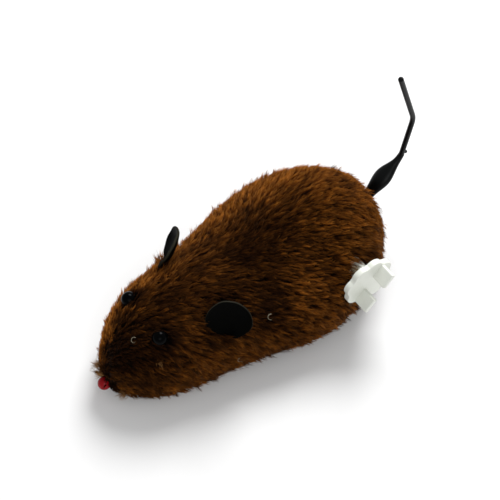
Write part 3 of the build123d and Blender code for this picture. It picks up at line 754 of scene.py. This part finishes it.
def part_round_beads(lines):
    """Pushes strands sideways off the beads, so that few overlap their rims, and marks which stay."""
    keep = np.ones(len(lines), bool)
    for centre, radius, out in BEAD_BALLS.values():
        from_centre = lines - centre
        height = from_centre @ out
        aside = from_centre - height[..., None] * out
        distance = np.linalg.norm(aside, axis=-1)
        rooted_under = distance[:, 0] < radius * BEAD_ROOTS
        keep &= ~(rooted_under & (np.abs(height[:, 0]) < BEAD_ROOT_HEIGHT * radius))
        rim = radius * random.uniform(*BEAD_RIM, (len(lines), 1))
        close = (distance < rim) & (height > -BEAD_BELOW * radius) & (height < BEAD_ABOVE * radius)
        pushed = centre + height[..., None] * out + aside * (rim / np.maximum(distance, 1e-6))[..., None]
        lines = np.where(close[..., None], pushed, lines)
    return lines, keep


def in_key_hole(lines):
    """Strands that would start or end in the hole that the key's hub turns in."""
    at_root = off_key_axis(lines[:, 0]) < KEY_HOLE_AT_ROOT
    at_tip = off_key_axis(lines[:, -1]) < KEY_HOLE_AT_TIP
    return at_root | at_tip


def before_ear(lines, node_name):
    """Strands that would stand through the front of an ear."""
    off_centre, ahead, _ = ear_frame(lines, node_name)
    return np.any((off_centre < EAR_FACE) & (ahead > -EAR_BEHIND) & (ahead < EAR_IN_FRONT), axis=1)


def tail_trees():
    """Search trees over the tail at both ends of its swing and in between."""
    joint = next(j for j in frame["joints"] if j["name"] == "tail_flex")
    pivot = Vector(joint["pos_m"])
    mesh = NODES["tail"].data
    faces = [tuple(face.vertices) for face in mesh.polygons]
    trees = []
    for angle in np.radians(np.linspace(*joint["range_deg"], TAIL_TURNS)):
        turn = Matrix.Rotation(angle, 4, Vector(joint["axis"]))
        turned = [pivot + turn @ (vertex.co - pivot) for vertex in mesh.vertices]
        trees.append(BVHTree.FromPolygons(turned, faces))
    return trees


def near_tail(lines):
    """Strands that the tail would sweep through as it swings."""
    trees = tail_trees()
    near = np.zeros(len(lines), bool)
    behind = (lines[:, 0, 1] > TAIL_ROOT_Y) & (np.abs(lines[:, 0, 0]) < TAIL_ROOT_HALF_WIDTH)
    for index in np.nonzero(behind)[0]:
        points = np.concatenate([lines[index], (lines[index, :-1] + lines[index, 1:]) / 2])
        near[index] = any(tree.find_nearest(Vector(to_row(point)), TAIL_CLEARANCE * MM)[0] is not None
                          for tree in trees for point in points)
    return near


def strand_mesh(name, lines, normals, tint, thickness, steps):
    """Closed three-sided tapering strands, with OFBake UVs of (tint, root to tip)."""
    count = len(lines)
    steps = np.asarray(steps)
    rings = len(steps) - 1
    tangent = unit(np.gradient(lines, axis=1))
    side = unit(np.cross(tangent, normals[:, None]))
    up = np.cross(side, tangent)
    points = np.empty((count, rings * 3 + 1, 3))
    size = thickness * random.uniform(*STRAND_RADIUS_SPREAD, (count, 1))
    for ring, width in enumerate(strand_rings(steps)):
        for corner in range(3):
            turn = 2 * math.pi * corner / 3 + math.pi / 2
            around = math.cos(turn) * side[:, ring] + math.sin(turn) * up[:, ring]
            points[:, ring * 3 + corner] = lines[:, ring] + size * width * around
    points[:, -1] = lines[:, -1]
    pattern = [(2, 1, 0)]
    for ring in range(rings - 1):
        for corner in range(3):
            a, b = ring * 3 + corner, ring * 3 + (corner + 1) % 3
            pattern.append((a, b, b + 3, a + 3))
    top = (rings - 1) * 3
    pattern += [(top + c, top + (c + 1) % 3, rings * 3) for c in range(3)]
    flat = np.array([i for face in pattern for i in face])
    sizes = np.array([len(face) for face in pattern])
    per_strand = rings * 3 + 1
    loops = (np.arange(count)[:, None] * per_strand + flat).ravel()
    starts = np.concatenate([[0], np.cumsum(np.tile(sizes, count))[:-1]])
    mesh = bpy.data.meshes.new(name)
    mesh.vertices.add(count * per_strand)
    mesh.vertices.foreach_set("co", to_row(points.reshape(-1, 3)).astype(np.float32).ravel())
    mesh.loops.add(len(loops))
    mesh.loops.foreach_set("vertex_index", loops.astype(np.int32))
    mesh.polygons.add(len(starts))
    mesh.polygons.foreach_set("loop_start", starts.astype(np.int32))
    mesh.polygons.foreach_set("use_smooth", np.ones(len(starts), bool))
    height = np.append(np.repeat(steps[:-1], 3), steps[-1])
    uv = np.empty((count, per_strand, 2))
    uv[..., 0] = np.clip(tint, 0.02, 0.98)[:, None]
    uv[..., 1] = np.clip(height, 0.01, 0.99)
    layer = mesh.uv_layers.new(name="OFBake")
    layer.data.foreach_set("uv", uv.reshape(-1, 2)[loops].astype(np.float32).ravel())
    mesh.update(calc_edges=True)
    return mesh


# Mean and spread of the natural logarithm of a lock's change in tint, and a strand's own spread.
LOCK_TINT = (-0.1, 0.6)
STRAND_TINT = 0.05


def pile():
    """The plush's strands, in pieces small enough to export, from the nose to the tail."""
    places, normals = scatter_clumps()
    lines, strand_normals = strand_lines(places, normals)
    lock_tint = tint_with_painted_light(places, normals) * np.exp(random.normal(*LOCK_TINT, len(places)))
    tint = np.repeat(lock_tint, STRANDS_PER_CLUMP) + random.normal(0, STRAND_TINT, len(lines))
    keep = ~(in_key_hole(lines) | near_tail(lines))
    for node_name in ("ear_left", "ear_right"):
        keep &= ~before_ear(lines, node_name)
    lines, off_beads = part_round_beads(lines)
    keep &= off_beads
    lines, strand_normals, tint = lines[keep], strand_normals[keep], tint[keep]
    lines = keep_clear(lines)
    order = np.argsort(lines[:, 0, 1], kind="stable")
    material = fur_material()
    pieces = math.ceil(len(order) / STRANDS_PER_PIECE)
    for number, chosen in enumerate(np.array_split(order, pieces)):
        name = f"pile_{number + 1:02d}"
        mesh = strand_mesh(name, lines[chosen], strand_normals[chosen], tint[chosen],
                           STRAND_RADIUS, STRAND_STEPS)
        add_object(name, mesh, "chassis", material)


# ---------------------------------------------------------------- loose fibres

FIBRE_RADIUS = 0.05
FIBRE_RINGS = 6
FAN_SPREAD = 0.45
CURL_RADIUS = 0.035
CURL_RINGS = 12
CURL_TINT = 0.8
# height of a curl's start over the pile's outer surface, and its rise along its length
CURL_HEIGHT = 0.75
CURL_RISE = 0.35
SNOUT_TUFT_LENGTH = 2.2
SNOUT_TUFT_WIDTH = 0.45

# place near the surface, loop radius, and how much of a full loop
STRAY_CURLS = [
    ((3.6, -36.4, 23.0), 0.75, 0.8),
    ((18.6, -13.3, 10.5), 0.9, 0.55),
    ((17.9, -1.9, 21.0), 0.8, 0.7),
]

# name, x, offset from the key's axis, direction, number of fibres, their length, spread of their roots
KEY_TUFTS = [
    ("key_tuft_upper", 21.0, (-1.4, 2.5), (-0.2, -0.8, 0.9), 90, 2.0, 0.35),
    ("key_tuft_lower", 22.7, (-4.4, -6.5), (0.1, -0.6, -1.0), 110, 1.8, 0.4),
]

# name, place near the surface, direction, number of fibres
SNOUT_TUFTS = [
    ("snout_tuft_upper", (-2.7, -46.3, 10.2), (-0.8, -0.7, 0.3), 90),
    ("snout_tuft_lower", (-0.7, -46.7, 8.9), (-0.7, -0.8, -0.1), 70),
    ("chin_tuft", (6.1, -44.6, 4.3), (0.3, -0.8, -0.5), 60),
    ("cheek_tuft", (10.3, -34.7, 19.3), (0.3, 0.5, -0.6), 14),
]


def fibre_material(name, dark, light):
    """Matt fibres, each of one colour between dark and light."""
    made, tree, shader = new_material(name)
    place = node(tree, "ShaderNodeUVMap", uv_map="OFBake").outputs["UV"]
    parts = node(tree, "ShaderNodeSeparateXYZ", {"Vector": place})
    tree.links.new(ramp(tree, parts.outputs["X"], [(0.1, dark), (0.9, light)]), shader.inputs["Base Color"])
    shader.inputs["Roughness"].default_value = 0.8
    shader.inputs["Specular IOR Level"].default_value = 0.2
    return made


def tuft_lines(place, direction, count, length, width):
    """Fibres that leave one place in a loose fan and curl a little."""
    steps = np.linspace(0, 1, FIBRE_RINGS)
    heading = unit(np.asarray(direction) + random.normal(0, math.tan(FAN_SPREAD), (count, 3)))
    bend = np.cross(heading, random.normal(0, 1, (count, 3))) * random.uniform(0.1, 0.6, (count, 1))
    reach = length * random.uniform(0.5, 1.1, (count, 1, 1))
    along = steps[None, :, None]
    roots = np.asarray(place) + random.normal(0, width, (count, 1, 3))
    lines = roots + reach * (heading[:, None] * along + bend[:, None] * along ** 2)
    return lines, unit(random.normal(0, 1, (count, 3))), steps


def tuft(name, place, direction, count, length, width, material):
    """A tuft of loose fibres as one piece."""
    lines, normals, steps = tuft_lines(place, direction, count, length, width)
    lines = keep_clear(lines)
    mesh = strand_mesh(name, lines, normals, random.uniform(0, 1, count), FIBRE_RADIUS, steps)
    add_object(name, mesh, "chassis", material)


def stray_curls(material):
    """A few single pale fibres, each lying in a loop on the pile."""
    steps = np.linspace(0, 1, CURL_RINGS)
    lines, normals = [], []
    for place, radius, turns in STRAY_CURLS:
        spot, out = nearest_on_body(place)
        across = unit(np.cross(out, [0.3, 1.0, 0.2]))
        along = np.cross(out, across)
        angle = turns * 2 * math.pi * steps[:, None] + radius * 7
        loop = radius * (np.cos(angle) * across + np.sin(angle) * along)
        lines.append(spot + out * (CURL_HEIGHT + CURL_RISE * steps[:, None]) + loop)
        normals.append(out)
    tint = np.full(len(lines), CURL_TINT)
    mesh = strand_mesh("stray_curls", np.array(lines), np.array(normals), tint, CURL_RADIUS, steps)
    add_object("stray_curls", mesh, "chassis", material)


def frayed_cloth():
    """Cream ends of the backing cloth at the key, and tan ones round the nose and on a cheek."""
    cream = fibre_material("cream_fibre", (0.42, 0.36, 0.24), (0.72, 0.66, 0.50))
    for name, x, offset, direction, count, length, width in KEY_TUFTS:
        tuft(name, (x, *(KEY_AXIS + offset)), direction, count, length, width, cream)
    stray_curls(cream)
    tan = fibre_material("tan_fibre", (0.16, 0.070, 0.018), (0.42, 0.22, 0.08))
    for name, place, direction, count in SNOUT_TUFTS:
        spot, _ = nearest_on_body(place)
        tuft(name, spot, direction, count, SNOUT_TUFT_LENGTH, SNOUT_TUFT_WIDTH, tan)


# ---------------------------------------------------------------- ears

EAR_COLUMNS = 96
EAR_THICKNESS = 0.75
EAR_FLAT = 0.97
EAR_EDGE_REACH = 0.03
EAR_RINGS = 22
EAR_EDGE_ANGLES = (60, 20, -20, -60)
# the ear's narrowing towards its root, its dish and cup, and the fold above its root
EAR_NARROWING = 0.28
EAR_DISH = 1.3
EAR_DISH_LEVEL = 0.55
EAR_CUP = 0.9
EAR_FOLD = 0.9
EAR_FOLD_WIDTH = 1.6


def ear_lift(lift, radius, turn, low, across, half_width):
    """Height of a point of the leathercloth over the CAD ear's plane: dished, cupped, rippled, folded."""
    dish = EAR_DISH * (radius ** 2 - EAR_DISH_LEVEL) + EAR_CUP * (across / half_width) ** 2 * radius
    ripple = 0.10 * math.sin(5 * turn + 1.3) * radius ** 3 + 0.06 * math.sin(9 * turn) * radius ** 4
    fold = -EAR_FOLD * low * math.exp(-(across / EAR_FOLD_WIDTH) ** 2)
    return lift + dish + ripple + fold


def ear_piece(name, node_name, leather, edge):
    """A cupped disc of leathercloth with a rounded cut edge, drawn in where it is sewn on."""
    centre, width, height, normal, (half_width, half_height) = plate_axes(node_name)
    radii = np.linspace(0.04, EAR_FLAT, EAR_RINGS)
    half = EAR_THICKNESS / 2
    layers = [(r, half) for r in radii]
    layers += [(EAR_FLAT + EAR_EDGE_REACH * math.cos(a), half * math.sin(a))
               for a in np.radians(EAR_EDGE_ANGLES)]
    layers += [(r, -half) for r in radii[::-1]]
    points = []
    turns = np.linspace(0, 2 * math.pi, EAR_COLUMNS, endpoint=False)
    for radius, lift in layers:
        for turn in turns:
            low = max(0.0, -math.sin(turn)) ** 2 * radius
            across = radius * math.cos(turn) * half_width * (1 - EAR_NARROWING * low)
            up = radius * math.sin(turn) * half_height
            off_plane = ear_lift(lift, radius, turn, low, across, half_width)
            points.append(centre + across * width + up * height + off_plane * normal)
    rows = len(layers)
    faces = grid_faces(rows, EAR_COLUMNS, wrap=True)
    faces.append(tuple(range(EAR_COLUMNS))[::-1])
    faces.append(tuple((rows - 1) * EAR_COLUMNS + i for i in range(EAR_COLUMNS)))
    mesh = mesh_from(name, points, faces)
    piece = add_object(name, mesh, "chassis", [leather, edge])
    rim = range(len(radii), len(radii) + len(EAR_EDGE_ANGLES) - 1)
    for face in mesh.polygons:
        row = min(face.vertices) // EAR_COLUMNS
        if row in rim and len(face.vertices) == 4:
            face.material_index = 1
    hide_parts(node_name)


def leather_material():
    """Black leathercloth with pebbled grain and uneven sheen."""
    made, tree, shader = new_material("ear_leathercloth")
    clouds = noise(tree, 260.0, 5.0)
    tree.links.new(ramp(tree, clouds, [(0.3, (0.0004, 0.0005, 0.0004)), (0.75, (0.0012, 0.0012, 0.0009))]),
                   shader.inputs["Base Color"])
    place = node(tree, "ShaderNodeTexCoord").outputs["Object"]
    pebbles = node(tree, "ShaderNodeTexVoronoi", {"Vector": place, "Scale": 1900.0}).outputs["Distance"]
    tree.links.new(spread(tree, clouds, 0.48, 0.66), shader.inputs["Roughness"])
    shader.inputs["Specular IOR Level"].default_value = 0.02
    bump(tree, shader, pebbles, 0.5, 0.00008)
    return made


# ---------------------------------------------------------------- CAD nodes

STEEL = moulded("bright_steel", (0.42, 0.43, 0.44), (0.6, 0.61, 0.62), 0.32,
                grain=3000.0, depth=0.00001, metallic=1.0)
PLATE = moulded("plate_steel", (0.40, 0.40, 0.38), (0.55, 0.55, 0.53), 0.42,
                grain=1500.0, depth=0.00002, metallic=1.0)
BLUED = moulded("blued_steel", (0.07, 0.08, 0.11), (0.16, 0.17, 0.21), 0.3,
                grain=2500.0, depth=0.00001, metallic=1.0)
BRASS = moulded("stamped_brass", (0.62, 0.43, 0.16), (0.78, 0.58, 0.27), 0.34,
                grain=2600.0, depth=0.00001, metallic=1.0)
BLACK_PLASTIC = moulded("black_plastic", (0.012, 0.012, 0.013), (0.024, 0.024, 0.025), 0.5)
GREY_PLASTIC = moulded("grey_plastic", (0.28, 0.26, 0.23), (0.36, 0.34, 0.31), 0.5)
PALE_PLASTIC = moulded("pale_plastic", (0.6, 0.6, 0.56), (0.72, 0.72, 0.69), 0.42)
KEY_PLASTIC = moulded("key_plastic", (0.72, 0.74, 0.67), (0.80, 0.82, 0.75), 0.36,
                      grain=1400.0, depth=0.00003, gloss=0.4)
TYRE_RUBBER = moulded("tyre_rubber", (0.012, 0.012, 0.012), (0.03, 0.03, 0.029), 0.75,
                      grain=3200.0, depth=0.00004)
TAIL_RUBBER = moulded("tail_rubber", (0.0008, 0.0011, 0.0012), (0.0018, 0.0024, 0.0026), 0.32,
                      grain=1800.0, depth=0.00003, gloss=0.12)
BLACK_BEAD = moulded("black_bead", (0.0003, 0.0004, 0.0005), (0.0007, 0.0008, 0.0010), 0.13,
                     grain=900.0, depth=0.000005, gloss=0.03)
RED_BEAD = moulded("red_bead", (0.20, 0.003, 0.006), (0.28, 0.005, 0.009), 0.2,
                   grain=900.0, depth=0.000005, gloss=0.12)

SLOT_MATERIALS = {
    "eye_bead": BLACK_BEAD,
    "nose_bead": RED_BEAD,
    "clear_washer": PALE_PLASTIC,
    "shell_plastic": GREY_PLASTIC,
    "base_plastic": BLACK_PLASTIC,
    "screw_steel": STEEL,
    "tail_rubber": TAIL_RUBBER,
    "roller_plastic": PALE_PLASTIC,
    "pin_steel": STEEL,
    "wheel_plastic": PALE_PLASTIC,
    "tyre_rubber": TYRE_RUBBER,
    "motor_steel": PLATE,
    "spring_steel": BLUED,
    "gear_brass": BRASS,
    "key_plastic": KEY_PLASTIC,
}


def dress_cad_nodes():
    """Gives every CAD node the material of its slot."""
    slots = {part["node"]: part["material_slot"] for part in frame["record"]["subparts"]}
    for name, obj in NODES.items():
        material = SLOT_MATERIALS.get(slots.get(name))
        if material is None:
            continue
        for index in range(len(obj.material_slots)):
            obj.material_slots[index].material = material
        if not obj.material_slots:
            obj.data.materials.append(material)


# ---------------------------------------------------------------- studio

CAMERA_AZIMUTH = math.radians(54.2)
CAMERA_ELEVATION = math.radians(55.8)
CAMERA_DISTANCE = 450.0
CAMERA_LENS = 113.9
SENSOR_WIDTH = 36.0
NEAREST_SEEN = 0.01
# the point that the camera looks at, and its offset in the camera's own directions
AIM = np.array([0.0, 0.0, 15.0])
AIM_RIGHT = 3.16
AIM_UP = 8.93
FLOOR_REACH = 3.0
WORLD_STRENGTH = 0.5
LIGHT_AIM = (0, 0, 0.01)


def add_camera():
    """Camera at the photograph's viewing angle."""
    towards = np.array([math.sin(CAMERA_AZIMUTH) * math.cos(CAMERA_ELEVATION),
                        -math.cos(CAMERA_AZIMUTH) * math.cos(CAMERA_ELEVATION),
                        math.sin(CAMERA_ELEVATION)])
    right = np.array([math.cos(CAMERA_AZIMUTH), math.sin(CAMERA_AZIMUTH), 0.0])
    up = np.cross(towards, right)
    place = AIM + AIM_RIGHT * right + AIM_UP * up + CAMERA_DISTANCE * towards
    camera = bpy.data.objects.new("camera", bpy.data.cameras.new("camera"))
    bpy.context.scene.collection.objects.link(camera)
    camera.data.lens = CAMERA_LENS
    camera.data.sensor_width = SENSOR_WIDTH
    camera.data.clip_start = NEAREST_SEEN
    turn = Matrix([[right[i], up[i], towards[i]] for i in range(3)]).to_4x4()
    camera.matrix_world = Matrix.Translation(Vector(to_row(place))) @ turn
    bpy.context.scene.camera = camera


def add_light(name, place, size, power):
    """Round soft light that faces the object."""
    data = bpy.data.lights.new(name, "AREA")
    data.shape = "DISK"
    data.size = size
    data.energy = power
    lamp = bpy.data.objects.new(name, data)
    bpy.context.scene.collection.objects.link(lamp)
    lamp.location = place
    lamp.rotation_euler = (Vector(LIGHT_AIM) - Vector(place)).to_track_quat("-Z", "Y").to_euler()


def add_studio():
    """Plain pale floor, white surroundings and two soft lights."""
    made, _, shader = new_material("floor")
    shader.inputs["Base Color"].default_value = (0.86, 0.86, 0.86, 1)
    shader.inputs["Roughness"].default_value = 0.9
    mesh = bpy.data.meshes.new("floor")
    corners = [(-1, -1, 0), (1, -1, 0), (1, 1, 0), (-1, 1, 0)]
    mesh.from_pydata([Vector(corner) * FLOOR_REACH for corner in corners], [], [(0, 1, 2, 3)])
    mesh.materials.append(made)
    floor = bpy.data.objects.new("floor", mesh)
    bpy.context.scene.collection.objects.link(floor)
    world = bpy.data.worlds.new("studio")
    world.use_nodes = True
    background = world.node_tree.nodes["Background"]
    background.inputs["Color"].default_value = (1, 1, 1, 1)
    background.inputs["Strength"].default_value = WORLD_STRENGTH
    bpy.context.scene.world = world
    bpy.context.scene.view_settings.view_transform = "Standard"
    add_light("key_light", (-0.25, 0.35, 0.55), size=0.35, power=4.6)
    add_light("fill_light", (0.5, -0.3, 0.5), size=0.5, power=1.2)


add_camera()
add_studio()
plush_cloth()
pile()
frayed_cloth()
LEATHER = leather_material()
EAR_EDGE = moulded("ear_edge", (0.008, 0.0075, 0.005), (0.022, 0.020, 0.012), 0.7,
                   grain=3000.0, depth=0.00003, gloss=0.08)
for side in ("left", "right"):
    ear_piece(f"ear_{side}_leathercloth", f"ear_{side}", LEATHER, EAR_EDGE)
dress_cad_nodes()
